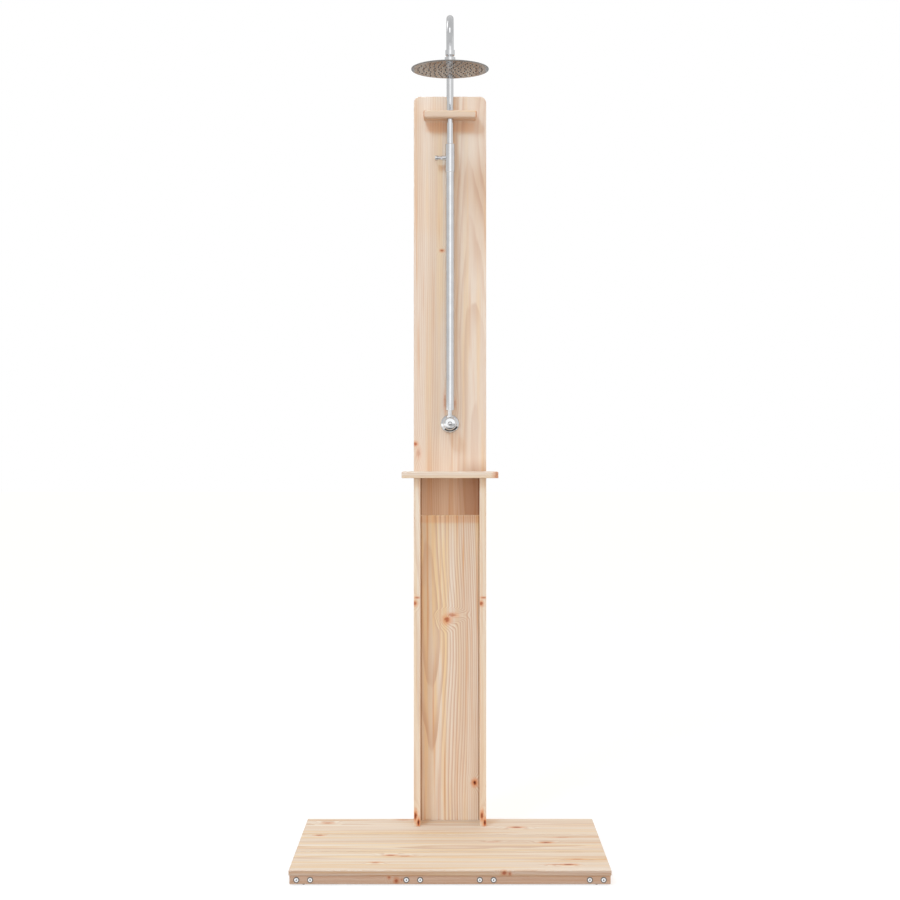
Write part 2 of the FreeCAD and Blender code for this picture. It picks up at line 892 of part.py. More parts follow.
def knob_screw():
    """Screw that holds the knob on the stem, its head under the button."""
    screw = turned([
        (0, -knob_screw_length),
        (knob_screw_radius, -knob_screw_length),
        (knob_screw_radius, 0),
        (knob_screw_head_radius - seat_clearance, 0),
        (knob_screw_head_radius - seat_clearance, knob_front - knob_button_depth - stem_reach),
        (0, knob_front - knob_button_depth - stem_reach),
    ])
    return placed(screw, Vector(0, tube_y - stem_reach, valve_z), FRONT)


def lock_nut():
    nut = hexagon(lock_nut_across_flats, lock_nut_thickness)
    return nut.cut(Part.makeCylinder(tail_radius, lock_nut_thickness))


def valve():
    bonnet = Part.makeCylinder(chamber_radius, bonnet_depth)
    bonnet = bonnet.cut(Part.makeCylinder(stem_radius + running_clearance, bonnet_depth))
    rosette = turned([
        (valve_body_radius, 0),
        (rosette_radius, 0),
        (rosette_radius, rosette_depth),
        (valve_body_radius, rosette_depth),
    ])
    rosette = rounded(rosette, rosette_radius, rosette_depth, rosette_rounding)
    button_height = knob_button_depth + knob_button_proud
    button = turned([
        (0, 0),
        (knob_button_radius, 0),
        (knob_button_radius, button_height - edge_bevel),
        (knob_button_radius - edge_bevel, button_height),
        (0, button_height),
    ])
    washer = Part.makeCylinder(inlet_washer_radius, inlet_washer_thickness)
    washer = washer.cut(Part.makeCylinder(tail_radius, inlet_washer_thickness))
    washer_depth = tube_standoff + panel_thickness
    moving_depth = chamber_back - 2 * disc_thickness - running_clearance
    return {
        "valve_body": valve_body(),
        "wall_rosette": placed(rosette, Vector(0, panel_front_y, valve_z), FRONT),
        "valve_bonnet": at_valve(bonnet, -valve_body_front),
        "fixed_ceramic_disc": at_valve(ceramic_disc(chamber_radius, 0), chamber_back - disc_thickness),
        "moving_ceramic_disc": at_valve(ceramic_disc(moving_disc_radius, math.pi / 2), moving_depth),
        "valve_stem": valve_stem(),
        "valve_knob": valve_knob(),
        "knob_screw": knob_screw(),
        "knob_button": placed(
            button, Vector(0, tube_y - knob_front + knob_button_depth, valve_z), FRONT
        ),
        "inlet_washer": at_valve(washer, washer_depth),
        "inlet_lock_nut": at_valve(lock_nut(), washer_depth + inlet_washer_thickness),
    }


def build():
    os.makedirs("parts", exist_ok=True)
    for nodes in (tray(), wooden_post(), riser(), rain_head(), valve()):
        for name, shape in nodes.items():
            shape.exportStep("parts/" + name + ".step")


build()
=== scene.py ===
"""Finishes, small fittings and studio of the outdoor shower post.

Run as a script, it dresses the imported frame: planed pine on the boards, steel on the
riser and the valve, screws, spray nozzles and threads from geometry nodes, and a pale
studio round it all. Lengths are metres, +Z up, front towards -Y.
"""
import math

import bmesh
import bpy
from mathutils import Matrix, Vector


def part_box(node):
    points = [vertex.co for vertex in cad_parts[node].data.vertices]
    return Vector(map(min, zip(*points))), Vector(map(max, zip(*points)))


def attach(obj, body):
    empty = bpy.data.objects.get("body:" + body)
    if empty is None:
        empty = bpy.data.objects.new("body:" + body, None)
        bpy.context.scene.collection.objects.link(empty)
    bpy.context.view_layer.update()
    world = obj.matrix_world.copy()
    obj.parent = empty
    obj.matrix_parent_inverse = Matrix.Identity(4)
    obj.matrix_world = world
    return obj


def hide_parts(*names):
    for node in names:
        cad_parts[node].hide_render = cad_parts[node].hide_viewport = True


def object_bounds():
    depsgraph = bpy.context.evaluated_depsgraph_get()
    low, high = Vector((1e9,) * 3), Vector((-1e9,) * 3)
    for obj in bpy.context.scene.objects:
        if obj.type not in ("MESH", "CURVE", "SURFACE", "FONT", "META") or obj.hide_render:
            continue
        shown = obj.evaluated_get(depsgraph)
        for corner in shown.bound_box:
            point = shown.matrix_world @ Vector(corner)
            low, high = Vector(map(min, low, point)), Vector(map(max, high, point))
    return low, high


bl_info = {
    "name": "Outdoor shower post",
    "version": (1, 0, 0),
    "blender": (4, 5, 0),
    "location": "3D View > Sidebar > Shower Post",
    "description": "Dresses the frame of an outdoor shower post with wood, steel and fittings",
    "category": "Object",
}

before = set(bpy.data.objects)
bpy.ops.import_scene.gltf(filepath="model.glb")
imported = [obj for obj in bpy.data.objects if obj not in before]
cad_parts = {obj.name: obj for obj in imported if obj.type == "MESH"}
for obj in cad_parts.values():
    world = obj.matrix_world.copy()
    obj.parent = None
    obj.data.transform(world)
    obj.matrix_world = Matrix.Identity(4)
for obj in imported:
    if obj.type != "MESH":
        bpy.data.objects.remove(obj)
cad_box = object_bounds()

MM = 0.001
BLACK, WHITE = (0.0, 0.0, 0.0), (1.0, 1.0, 1.0)
FRONT = Vector((0, -1, 0))
BACK = Vector((0, 1, 0))
UP = Vector((0, 0, 1))
DOWN = Vector((0, 0, -1))


# ---- Sizes and colours that a user would change ----------------------
def tone(red, green, blue):
    """Linear colour from the 0 to 255 values of a paint chart."""
    def linear(value):
        share = value / 255
        return share / 12.92 if share <= 0.04045 else ((share + 0.055) / 1.055) ** 2.4
    return (linear(red), linear(green), linear(blue))


def colour(label, use, default):
    return bpy.props.FloatVectorProperty(
        name=label, description=use, subtype="COLOR", size=3, min=0, max=1, default=default
    )


def length(label, use, default):
    return bpy.props.FloatProperty(
        name=label, description=use, subtype="DISTANCE", unit="LENGTH", min=0, default=default
    )


def factor(label, use, default, top=1.0):
    return bpy.props.FloatProperty(
        name=label, description=use, subtype="FACTOR", min=0, max=top, default=default
    )


class PineSettings(bpy.types.PropertyGroup):
    """Tones and grain of the planed pine."""

    light: colour("Light wood", "Colour of the pale early wood", tone(236, 218, 200))
    middle: colour("Middle wood", "Colour of the broad bands", tone(227, 203, 180))
    honey: colour("Honey bands", "Colour of the yellow bands", tone(236, 205, 163))
    amber: colour("Amber streaks", "Colour of the resinous streaks", tone(222, 176, 132))
    late: colour("Late wood", "Colour of the thin growth lines", tone(206, 164, 134))
    halo: colour("Knot halo", "Colour of the wood round a knot", tone(222, 150, 98))
    core: colour("Knot core", "Colour of the knots", tone(178, 84, 44))
    dark_core: colour("Dark knot core", "Colour of the darkest knots", tone(86, 36, 20))
    ring_pitch: length("Growth ring", "Distance from one growth ring to the next", 4.6 * MM)
    ring_share: factor("Ring contrast", "How strongly the growth rings show", 0.34)
    relief: length("Relief", "Height of the grain's relief", 0.12 * MM)


class SteelSettings(bpy.types.PropertyGroup):
    """Metal finishes."""

    polished: colour("Polished steel", "Colour of the riser and the valve", (0.60, 0.605, 0.615))
    polished_roughness: factor("Polished roughness", "Roughness of the polished steel", 0.07)
    face: colour("Face plate", "Colour of the rain head's underside", (0.25, 0.295, 0.34))
    shell: colour("Top shell", "Colour of the rain head's top shell", (0.24, 0.225, 0.21))
    zinc: colour("Zinc", "Colour of the screws' crowns", (0.86, 0.87, 0.88))
    # The flanges' dark colour is partly a duller zinc and partly painted shade for the shadow ring
    # round each head.
    flange: colour("Zinc flange", "Colour of the screws' duller flanges", (0.17, 0.155, 0.145))
    brass: colour("Brass", "Colour of the brass pieces", (0.74, 0.53, 0.27))


class ScrewSettings(bpy.types.PropertyGroup):
    """Sizes of the flange screws in the rails and of the wood screws."""

    flange_radius: length("Flange radius", "Radius of the flange that lies on the rail", 7.5 * MM)
    crown_radius: length("Crown radius", "Radius of the raised crown", 5.3 * MM)
    head_height: length("Head height", "Height of the head above the wood", 2.2 * MM)
    socket: length("Socket width", "Width of the hexagon socket across its corners", 4.0 * MM)
    shank_radius: length("Shank radius", "Radius of the flange screw's shank", 3.0 * MM)
    wood_head_radius: length("Wood screw head", "Radius of a wood screw's head", 4.5 * MM)
    wood_head_height: length("Wood screw height", "Height of a wood screw's head", 1.8 * MM)
    wood_shank_radius: length("Wood screw shank", "Radius of a wood screw's shank", 2.0 * MM)


class NozzleSettings(bpy.types.PropertyGroup):
    """Pattern of the rain head's spray nozzles."""

    ring_pitch: length("Ring pitch", "Distance from one ring of nozzles to the next", 14 * MM)
    arc_pitch: length("Arc pitch", "Distance between nozzles along a ring", 17 * MM)
    base_radius: length("Base radius", "Radius of a nozzle at the face plate", 1.9 * MM)
    tip_radius: length("Tip radius", "Radius of a nozzle at its end", 1.3 * MM)
    height: length("Height", "How far a nozzle stands out of the plate", 1.4 * MM)
    bore_radius: length("Bore radius", "Radius of the hole that the water leaves by", 0.55 * MM)
    ring_count: bpy.props.IntProperty(
        name="Rings", description="Number of rings round the centre nozzle", min=1, default=6
    )


class StudioSettings(bpy.types.PropertyGroup):
    """Camera, lamps and floor."""

    camera_distance: length("Camera distance", "From the tray's front edge to the camera", 4.015)
    camera_height: length("Camera height", "Height of the level camera", 1.1028)
    lens: bpy.props.FloatProperty(
        name="Lens", description="Focal length on a 36 mm sensor, in millimetres",
        min=1, default=64.88,
    )
    shift: bpy.props.FloatProperty(
        name="Shift", description="Upward shift of the picture, as a share of its side",
        default=-0.0111,
    )
    key_power: bpy.props.FloatProperty(
        name="Key", description="Power of the lamp above the front", min=0, default=64, unit="POWER"
    )
    key_tint: colour("Key tint", "Colour of the cool lamp", (0.40, 0.73, 1.0))
    ambient: factor("Ambient", "Strength of the light from all round", 1.02, 2)
    ambient_tint: colour("Ambient tint", "Colour of the light from all round", (1.0, 0.89, 0.80))
    floor: colour("Floor", "Colour of the pale floor", (0.62, 0.61, 0.60))


# ---- Node trees ------------------------------------------------------
class Tree:
    """Short way to add and join the nodes of one tree."""

    def __init__(self, tree):
        self.tree = tree
        self.tree.nodes.clear()

    def join(self, value, socket):
        if isinstance(value, bpy.types.NodeSocket):
            self.tree.links.new(value, socket)
        elif value is not None:
            socket.default_value = value

    def add(self, kind, *values, **settings):
        """A node with its settings, and its first inputs joined or set in their order."""
        node = self.tree.nodes.new(kind)
        for name, value in settings.items():
            setattr(node, name, value)
        for value, socket in zip(values, node.inputs):
            self.join(value, socket)
        return node

    def named(self, kind, values, **settings):
        """A node with its settings, and the inputs that are named joined or set."""
        node = self.add(kind, **settings)
        for name, value in values.items():
            self.join(value, node.inputs[name])
        return node


class ShaderTree(Tree):
    def math(self, operation, *values):
        return self.add("ShaderNodeMath", *values, operation=operation).outputs[0]

    def vector(self, operation, *values):
        output = "Value" if operation in ("LENGTH", "DOT_PRODUCT") else "Vector"
        return self.add("ShaderNodeVectorMath", *values, operation=operation).outputs[output]

    def ramp(self, value, low, high, bottom=0.0, top=1.0):
        """Smooth step of a value from one range to another."""
        node = self.add("ShaderNodeMapRange", value, low, high, bottom, top)
        node.interpolation_type = "SMOOTHSTEP"
        return node.outputs[0]

    def blend(self, share, first, second):
        node = self.add("ShaderNodeMix", share, data_type="RGBA")
        for value, socket in ((first, node.inputs[6]), (second, node.inputs[7])):
            self.join(value, socket)
        return node.outputs[2]

    def noise(self, place, scale, detail=2.0, roughness=0.5):
        values = {"Vector": place, "Scale": scale, "Detail": detail, "Roughness": roughness}
        return self.named("ShaderNodeTexNoise", values).outputs[0]


def rgba(colour_value):
    return (*colour_value, 1.0)


def new_material(name):
    material = bpy.data.materials.new(name)
    material.use_nodes = True
    return material, ShaderTree(material.node_tree)


def finish_material(tree, shader):
    tree.add("ShaderNodeOutputMaterial", shader)


def wear(*nodes, material):
    """Puts one material on CAD nodes, in place of what they came with."""
    for name in nodes:
        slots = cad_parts[name].data.materials
        slots.clear()
        slots.append(material)


def group_sockets(group, direction, sockets):
    for name, kind in sockets:
        group.interface.new_socket(name=name, in_out=direction, socket_type="NodeSocket" + kind)


# ---- Pine ------------------------------------------------------------
def knot_group():
    """Core, halo and swirl of one knot. Place is across, through and along the grain."""
    group = bpy.data.node_groups.new("pine_knot", "ShaderNodeTree")
    group_sockets(group, "INPUT", [
        ("Place", "Vector"), ("Centre", "Vector"), ("Reach", "Vector"), ("Strength", "Float"),
    ])
    group_sockets(group, "OUTPUT", [(name, "Float") for name in ("Core", "Halo", "Swirl", "Heart")])
    t = ShaderTree(group)
    given = t.add("NodeGroupInput").outputs
    near = t.vector("SUBTRACT", given["Place"], given["Centre"])
    distance = t.vector("LENGTH", t.vector("DIVIDE", near, given["Reach"]))
    ragged = t.math("MULTIPLY_ADD", t.noise(given["Place"], 160.0), 0.7, -0.35)
    outline = t.math("ADD", distance, ragged)
    core = t.math("MULTIPLY", t.ramp(outline, 0.35, 0.95, 1.0, 0.0), given["Strength"])
    halo = t.math("MULTIPLY", t.ramp(outline, 0.6, 2.1, 0.85, 0.0), given["Strength"])
    darkest = t.ramp(given["Strength"], 0.75, 1.0)
    heart = t.math("MULTIPLY", t.ramp(outline, 0.15, 0.6, 1.0, 0.0), darkest)
    width = t.add("ShaderNodeSeparateXYZ", given["Reach"]).outputs[0]
    swirl = t.math("MULTIPLY", t.ramp(distance, 0.0, 4.0, 1.6, 0.0), width)
    t.add("NodeGroupOutput", core, halo, swirl, heart)
    return group


def grain_group(pine):
    """Colour, roughness and relief of planed pine from a place measured from the pith."""
    group = bpy.data.node_groups.new("planed_pine", "ShaderNodeTree")
    group_sockets(group, "INPUT", [
        ("Place", "Vector"), ("Shift", "Vector"), ("Swirl", "Float"), ("Halo", "Float"),
        ("Core", "Float"), ("Heart", "Float"), ("Contrast", "Float"), ("Shade", "Color"),
    ])
    group_sockets(group, "OUTPUT", [
        ("Color", "Color"), ("Roughness", "Float"), ("Height", "Float"),
    ])
    t = ShaderTree(group)
    given = t.add("NodeGroupInput").outputs
    place = given["Place"]
    moved = t.vector("ADD", place, given["Shift"])

    def stretched(across, along):
        return t.vector("MULTIPLY", moved, (across, across, along))

    wander = t.math("MULTIPLY_ADD", t.noise(stretched(3.0, 0.9), 1.0), 0.05, -0.025)
    ripple = t.math("MULTIPLY_ADD", t.noise(stretched(26.0, 3.0), 1.0), 0.006, -0.003)
    radius = t.vector("LENGTH", t.vector("MULTIPLY", place, (1.0, 1.0, 0.0)))
    for bend in (wander, ripple, given["Swirl"]):
        radius = t.math("ADD", radius, bend)
    turn = t.math("FRACT", t.math("DIVIDE", radius, pine.ring_pitch))
    rising = t.ramp(turn, 0.30, 0.88)
    falling = t.ramp(turn, 0.90, 1.0, 1.0, 0.0)
    rings = t.math("MULTIPLY", rising, falling)

    bands = t.ramp(t.noise(stretched(24.0, 0.7), 1.0, 3.0), 0.36, 0.66)
    honey = t.ramp(t.noise(stretched(52.0, 1.3), 1.0, 3.0), 0.50, 0.70)
    streaks = t.ramp(t.noise(stretched(120.0, 2.2), 1.0, 2.0), 0.54, 0.74)
    presence = t.ramp(t.noise(stretched(34.0, 1.1), 1.0), 0.35, 0.65, 0.35, 1.0)
    fibres = t.noise(stretched(1100.0, 22.0), 1.0, 2.0)

    colour_now = t.blend(bands, rgba(pine.light), rgba(pine.middle))
    for share, most, wood in ((honey, 0.48, pine.honey), (streaks, 0.46, pine.amber)):
        share = t.math("MULTIPLY", t.math("MULTIPLY", share, most), given["Contrast"])
        colour_now = t.blend(share, colour_now, rgba(wood))
    ring_share = t.math("MULTIPLY", t.math("MULTIPLY", rings, presence), pine.ring_share)
    ring_share = t.math("MULTIPLY", ring_share, given["Contrast"])
    colour_now = t.blend(ring_share, colour_now, rgba(pine.late))
    fibre_share = t.ramp(fibres, 0.45, 0.75, 0.0, 0.16)
    colour_now = t.blend(fibre_share, colour_now, rgba(pine.late))
    colour_now = t.blend(given["Halo"], colour_now, rgba(pine.halo))
    colour_now = t.blend(given["Core"], colour_now, rgba(pine.core))
    colour_now = t.blend(given["Heart"], colour_now, rgba(pine.dark_core))
    colour_now = t.vector("MULTIPLY", colour_now, given["Shade"])

    roughness = t.math("MULTIPLY_ADD", fibres, 0.16, 0.52)
    roughness = t.math("MULTIPLY_ADD", given["Core"], -0.18, roughness)
    height = t.math("MULTIPLY_ADD", fibres, 0.5, t.math("MULTIPLY", rings, 0.5))
    t.add("NodeGroupOutput", colour_now, roughness, height)
    return group


# Order of X, Y and Z that gives across, through and along the grain.
GRAIN_ALONG = {"Z": (0, 1, 2), "X": (1, 2, 0), "Y": (0, 2, 1)}


# Place and half depth, in millimetres, of a knot that goes all through its board.
THROUGHOUT = (0.0, 10000.0)


class Board:
    """Finish of one board: its grain, the pith beside its middle, and its knots.

    A knot is (across, along, half width, half length, strength), in millimetres in the
    frame, then its place and half depth through the board where it doesn't go all through.
    The pith is (across, through) from the board's middle, in millimetres. The colour is
    multiplied by tint, by upright_tone on upright faces, and on faces towards the front by
    each patch (X, half width, Z, half height, soft edge, factor); most patches are painted
    shade, painted shadow or a painted highlight.
    """

    def __init__(self, node, along, pith, knots=(), **extras):
        self.node = node
        self.along = along
        self.pith = pith
        self.knots = knots
        self.contrast = extras.get("contrast", 1.0)
        self.tint = extras.get("tint", WHITE)
        self.upright_tone = extras.get("upright_tone", WHITE)
        self.patches = extras.get("patches", ())


def pine_material(board, number, groups, relief):
    grain, knot = groups
    material, t = new_material("pine_" + board.node)
    order = GRAIN_ALONG[board.along]
    low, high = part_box(board.node)
    middle = [(low[axis] + high[axis]) / 2 for axis in order]
    pith = (middle[0] + board.pith[0] * MM, middle[1] + board.pith[1] * MM, 0.0)

    parts = t.add("ShaderNodeSeparateXYZ", t.add("ShaderNodeTexCoord").outputs["Object"]).outputs
    place = t.add("ShaderNodeCombineXYZ", *[parts[axis] for axis in order]).outputs[0]
    fields = {"Core": None, "Halo": None, "Swirl": None, "Heart": None}
    joins = {"Core": "MAXIMUM", "Halo": "MAXIMUM", "Swirl": "ADD", "Heart": "MAXIMUM"}
    for across, along, half_width, half_length, strength, *deep in board.knots:
        through, half_depth = deep or THROUGHOUT
        reach = (half_width * MM, half_depth * MM, half_length * MM)
        centre = (across * MM, through * MM, along * MM)
        found = t.named("ShaderNodeGroup", {}, node_tree=knot)
        given = {"Place": place, "Centre": centre, "Reach": reach, "Strength": strength}
        for name, value in given.items():
            t.join(value, found.inputs[name])
        for name, so_far in fields.items():
            output = found.outputs[name]
            fields[name] = output if so_far is None else t.math(joins[name], so_far, output)

    wood = t.named("ShaderNodeGroup", {}, node_tree=grain)
    shift = (0.37 * number, 0.53 * number, 1.71 * number)
    values = dict(fields, Place=t.vector("SUBTRACT", place, pith), Shift=shift)
    values.update(Contrast=board.contrast, Shade=board_shade(t, board, parts))
    for name, value in values.items():
        t.join(value, wood.inputs[name])
    bump = t.named("ShaderNodeBump", {
        "Height": wood.outputs["Height"], "Distance": relief, "Strength": 0.6,
    })
    shader = t.named("ShaderNodeBsdfPrincipled", {
        "Base Color": wood.outputs["Color"],
        "Roughness": wood.outputs["Roughness"],
        "Normal": bump.outputs[0],
        "Specular IOR Level": 0.25,
    })
    finish_material(t, shader.outputs[0])
    return material


def board_shade(t, board, parts):
    """Factor on the board's colour from its tint, its upright faces and its patches, most of them
    painted shade.
    """
    shade = rgba(board.tint)
    normal = t.add("ShaderNodeSeparateXYZ", t.add("ShaderNodeTexCoord").outputs["Normal"]).outputs
    if board.upright_tone != WHITE:
        upright = t.ramp(t.math("ABSOLUTE", normal[2]), 0.5, 0.9, 1.0, 0.0)
        shade = t.vector("MULTIPLY", t.blend(upright, rgba(WHITE), rgba(board.upright_tone)), shade[:3])
    to_front = t.ramp(normal[1], -0.9, -0.5, 1.0, 0.0)
    for x, half_width, z, half_height, soft, patch in board.patches:
        share = to_front
        for axis, middle, half in ((0, x, half_width), (2, z, half_height)):
            away = t.math("ABSOLUTE", t.math("SUBTRACT", parts[axis], middle * MM))
            share = t.math("MULTIPLY", share, t.ramp(away, half * MM, (half + soft) * MM, 1.0, 0.0))
        factors = t.blend(share, rgba(WHITE), rgba(patch))
        shade = t.vector("MULTIPLY", factors, shade[:3] if isinstance(shade, tuple) else shade)
    return shade


def pine_groups():
    """The two node groups that every board shares, made once."""
    made = [bpy.data.node_groups.get(name) for name in ("planed_pine", "pine_knot")]
    if None in made:
        made = [grain_group(bpy.context.scene.shower_pine), knot_group()]
    return made


def lay_boards(boards, first_number):
    groups = pine_groups()
    relief = bpy.context.scene.shower_pine.relief
    for number, board in enumerate(boards, first_number):
        wear(board.node, material=pine_material(board, number, groups, relief))


# The tray's upright faces are darker and warmer than its tops.
UPRIGHT_TONE = (0.77, 0.66, 0.61)
# What the deck's boards, and the two side boards, have in common.
DECK = {"upright_tone": UPRIGHT_TONE, "tint": (0.975, 1.045, 1.08), "contrast": 2.1}
SIDE = {"tint": (1.06, 1.09, 1.08)}
# Painted shade darkens the corners and the niche under the shelf, most of all on its right.
# A painted highlight makes the lower board's top edge, its arris, paler.
PAINTED_CORNER_SHADE = (0.58, 0.43, 0.34)
PAINTED_NICHE_SHADE = (0.90, 0.80, 0.72)
PAINTED_RIGHT_NICHE_SHADE = (0.72, 0.58, 0.50)
PAINTED_ARRIS_HIGHLIGHT = (1.12, 1.22, 1.30)
# Painted shadow darkens the wood below the bar and below that edge, and the panel has a warm band.
PAINTED_SHADOW = (0.98, 0.86, 0.77)
WARM = (1.0, 0.965, 0.93)

TRAY_BOARDS = (
    Board("deck_board_front", "X", (30, -70), (
        (-141, -152, 7, 16, 0.75), (-150, -117, 6, 18, 0.5), (-212, -188, 6, 13, 0.6),
        (-232, 298, 7, 20, 0.85), (-232, 270, 5, 26, 0.5), (-180, 322, 5, 20, 0.5),
        (-289, 134, 10, 7, 0.74, 31, 6), (-289, 148, 8, 4, 0.6, 29, 5),
    ), **DECK),
    Board("deck_board_middle", "X", (-40, -90), (
        (70, -352, 6, 13, 0.8), (-2, 112, 5, 18, 0.3), (-10, 254, 7, 16, 0.85),
        (46, 300, 4, 24, 0.5),
    ), **DECK),
    Board("deck_board_back", "X", (20, -80), (
        (210, -340, 8, 14, 0.7), (245, -130, 5, 24, 0.5), (160, 183, 8, 18, 0.85),
    ), **DECK),
    Board("front_rail", "X", (-60, 25), (
        (-289, -151, 8, 4, 0.6, 19, 4), (-289, -133, 10, 6, 0.74, 11, 7),
        (-289, -120, 8, 3, 0.5, 13, 4),
    ), upright_tone=UPRIGHT_TONE),
    Board("back_rail", "X", (55, 30), upright_tone=UPRIGHT_TONE),
    Board("joist_outer_left", "Y", (20, 60)),
    Board("joist_inner_left", "Y", (-15, 70)),
    Board("joist_inner_right", "Y", (10, 60)),
    Board("joist_outer_right", "Y", (-25, 75)),
)

POST_BOARDS = (
    Board("left_side_board", "Z", (25, 60), (
        (-96.5, 652, 6, 7, 0.78, 170, 22), (-91, 668, 9, 3, 0.6, 170, 18),
        (-95, 66, 5, 14, 0.9, 170, 20), (-87, 48, 5, 12, 1.0, 170, 16),
    ), **SIDE),
    Board("right_side_board", "Z", (-30, 55), (
        (86, 652, 6, 7, 0.78, 170, 22), (93, 668, 9, 3, 0.6, 170, 18),
        (88, 66, 5, 14, 0.9, 170, 20), (96, 48, 5, 12, 1.0, 170, 16),
    ), **SIDE),
    Board("lower_back_board", "Z", (-60, 75), (
        (-8.4, 599, 10, 10, 0.78), (6, 612, 15, 6, 0.5), (69, 142, 7, 9, 1.0),
    # Patches: painted shadow below the top edge, painted shade in the corners and a painted
    # highlight on the arris.
    ), contrast=2.4, tint=(1.12, 1.20, 1.27), patches=(
        (0, 200, 882, 7, 9, PAINTED_SHADOW), (-82, 1.5, 460, 600, 3, PAINTED_CORNER_SHADE),
        (82, 1.5, 460, 600, 3, PAINTED_CORNER_SHADE), (0, 200, 892, 1.6, 2, PAINTED_ARRIS_HIGHLIGHT),
    )),
    Board("upper_back_panel", "Z", (65, 85), (
        (-22.4, 1634, 6, 4, 0.7), (-97, 1092, 6, 6, 0.75), (-88, 1066, 6, 14, 0.3),
        (-13, 1210, 4.5, 26, 0.45), (13, 1204, 4, 14, 0.35),
    # Patches: painted shade in the niche and its corners, painted shadow under the bar, and a warm
    # band.
    ), patches=(
        (0, 200, 945, 53, 2, PAINTED_NICHE_SHADE), (-82, 1.5, 945, 53, 3, PAINTED_CORNER_SHADE),
        (82, 1.5, 945, 53, 3, PAINTED_CORNER_SHADE), (80, 15, 945, 53, 60, PAINTED_RIGHT_NICHE_SHADE),
        (0, 62, 1979, 7, 12, PAINTED_SHADOW), (-60, 30, 1860, 150, 60, WARM),
    ), contrast=1.3, tint=(1.06, 1.055, 1.065)),
    Board("shelf_board", "X", (35, -60), ((155, 128, 10, 9, 0.6),), tint=(1.0, 1.03, 1.06)),
    Board("tube_guide_bar", "X", (-20, 50), (
        # The two dark marks at the bar's ends, laid as knots, are painted shade on its end edges.
        (200, 75, 8, 3, 0.9), (200, -75, 8, 3, 0.7),
    ), contrast=1.8, tint=(0.99, 0.94, 0.91)),
)


# ---- Metals and plastics ---------------------------------------------
def smudged_metal(name, base, roughness, spread, scratch):
    """Metal with faint smudges in its gloss and fine scratches in its surface."""
    material, t = new_material(name)
    place = t.add("ShaderNodeTexCoord").outputs["Object"]
    smudge = t.noise(place, 38.0, 3.0)
    hair = t.noise(t.vector("MULTIPLY", place, (900.0, 900.0, 60.0)), 1.0, 2.0)
    dull = t.math("MULTIPLY_ADD", smudge, spread, roughness - spread / 2)
    bump = t.named("ShaderNodeBump", {"Height": hair, "Distance": scratch, "Strength": 0.2})
    tint = t.blend(t.ramp(smudge, 0.3, 0.7, 0.0, 0.06), rgba(base), rgba(BLACK))
    shader = t.named("ShaderNodeBsdfPrincipled", {
        "Base Color": tint, "Metallic": 1.0, "Roughness": dull, "Normal": bump.outputs[0],
    })
    finish_material(t, shader.outputs[0])
    return material


def moulded(name, base, roughness, grain_scale):
    """Plastic, rubber or ceramic with a faint moulded grain."""
    material, t = new_material(name)
    place = t.add("ShaderNodeTexCoord").outputs["Object"]
    grain = t.noise(place, grain_scale, 2.0)
    bump = t.named("ShaderNodeBump", {"Height": grain, "Distance": 0.05 * MM, "Strength": 0.4})
    tint = t.blend(t.ramp(grain, 0.3, 0.7, 0.0, 0.12), rgba(base), rgba(BLACK))
    shader = t.named("ShaderNodeBsdfPrincipled", {
        "Base Color": tint,
        "Roughness": t.math("MULTIPLY_ADD", grain, 0.1, roughness),
        "Normal": bump.outputs[0],
    })
    finish_material(t, shader.outputs[0])
    return material


def finishes():
    """The metal and plastic finishes by the record's slot names, made once."""
    steel = bpy.context.scene.shower_steel
    metals = {
        "polished_steel": (steel.polished, steel.polished_roughness, 0.04, 0.003 * MM),
        "head_face_steel": (steel.face, 0.16, 0.06, 0.004 * MM),
        "head_shell": (steel.shell, 0.14, 0.06, 0.004 * MM),
        "zinc_screws": (steel.zinc, 0.30, 0.10, 0.01 * MM),
        "zinc_flange": (steel.flange, 0.42, 0.10, 0.01 * MM),
        # The socket's dark floor is painted shade.
        "zinc_socket": ((0.03, 0.033, 0.04), 0.6, 0.10, 0.01 * MM),
        "brass": (steel.brass, 0.28, 0.10, 0.01 * MM),
    }
    mouldings = {
        "white_plastic": ((0.80, 0.80, 0.78), 0.45, 400),
        "black_plastic": ((0.028, 0.028, 0.03), 0.55, 500),
        "grey_silicone": ((0.15, 0.145, 0.14), 0.6, 700),
        "black_rubber": ((0.02, 0.02, 0.02), 0.75, 600),
        "white_ceramic": ((0.86, 0.85, 0.82), 0.2, 300),
    }
    made = {}
    for recipe, looks in ((smudged_metal, metals), (moulded, mouldings)):
        for slot, values in looks.items():
            name = "finish_" + slot
            made[slot] = bpy.data.materials.get(name) or recipe(name, *values)
    return made


# ---- Geometry node trees ---------------------------------------------
# Vertices closer than WELD are one vertex, and an edge that bends by more than CREASE, in
# radians, stays sharp.
WELD = 0.001 * MM
CREASE = 0.6


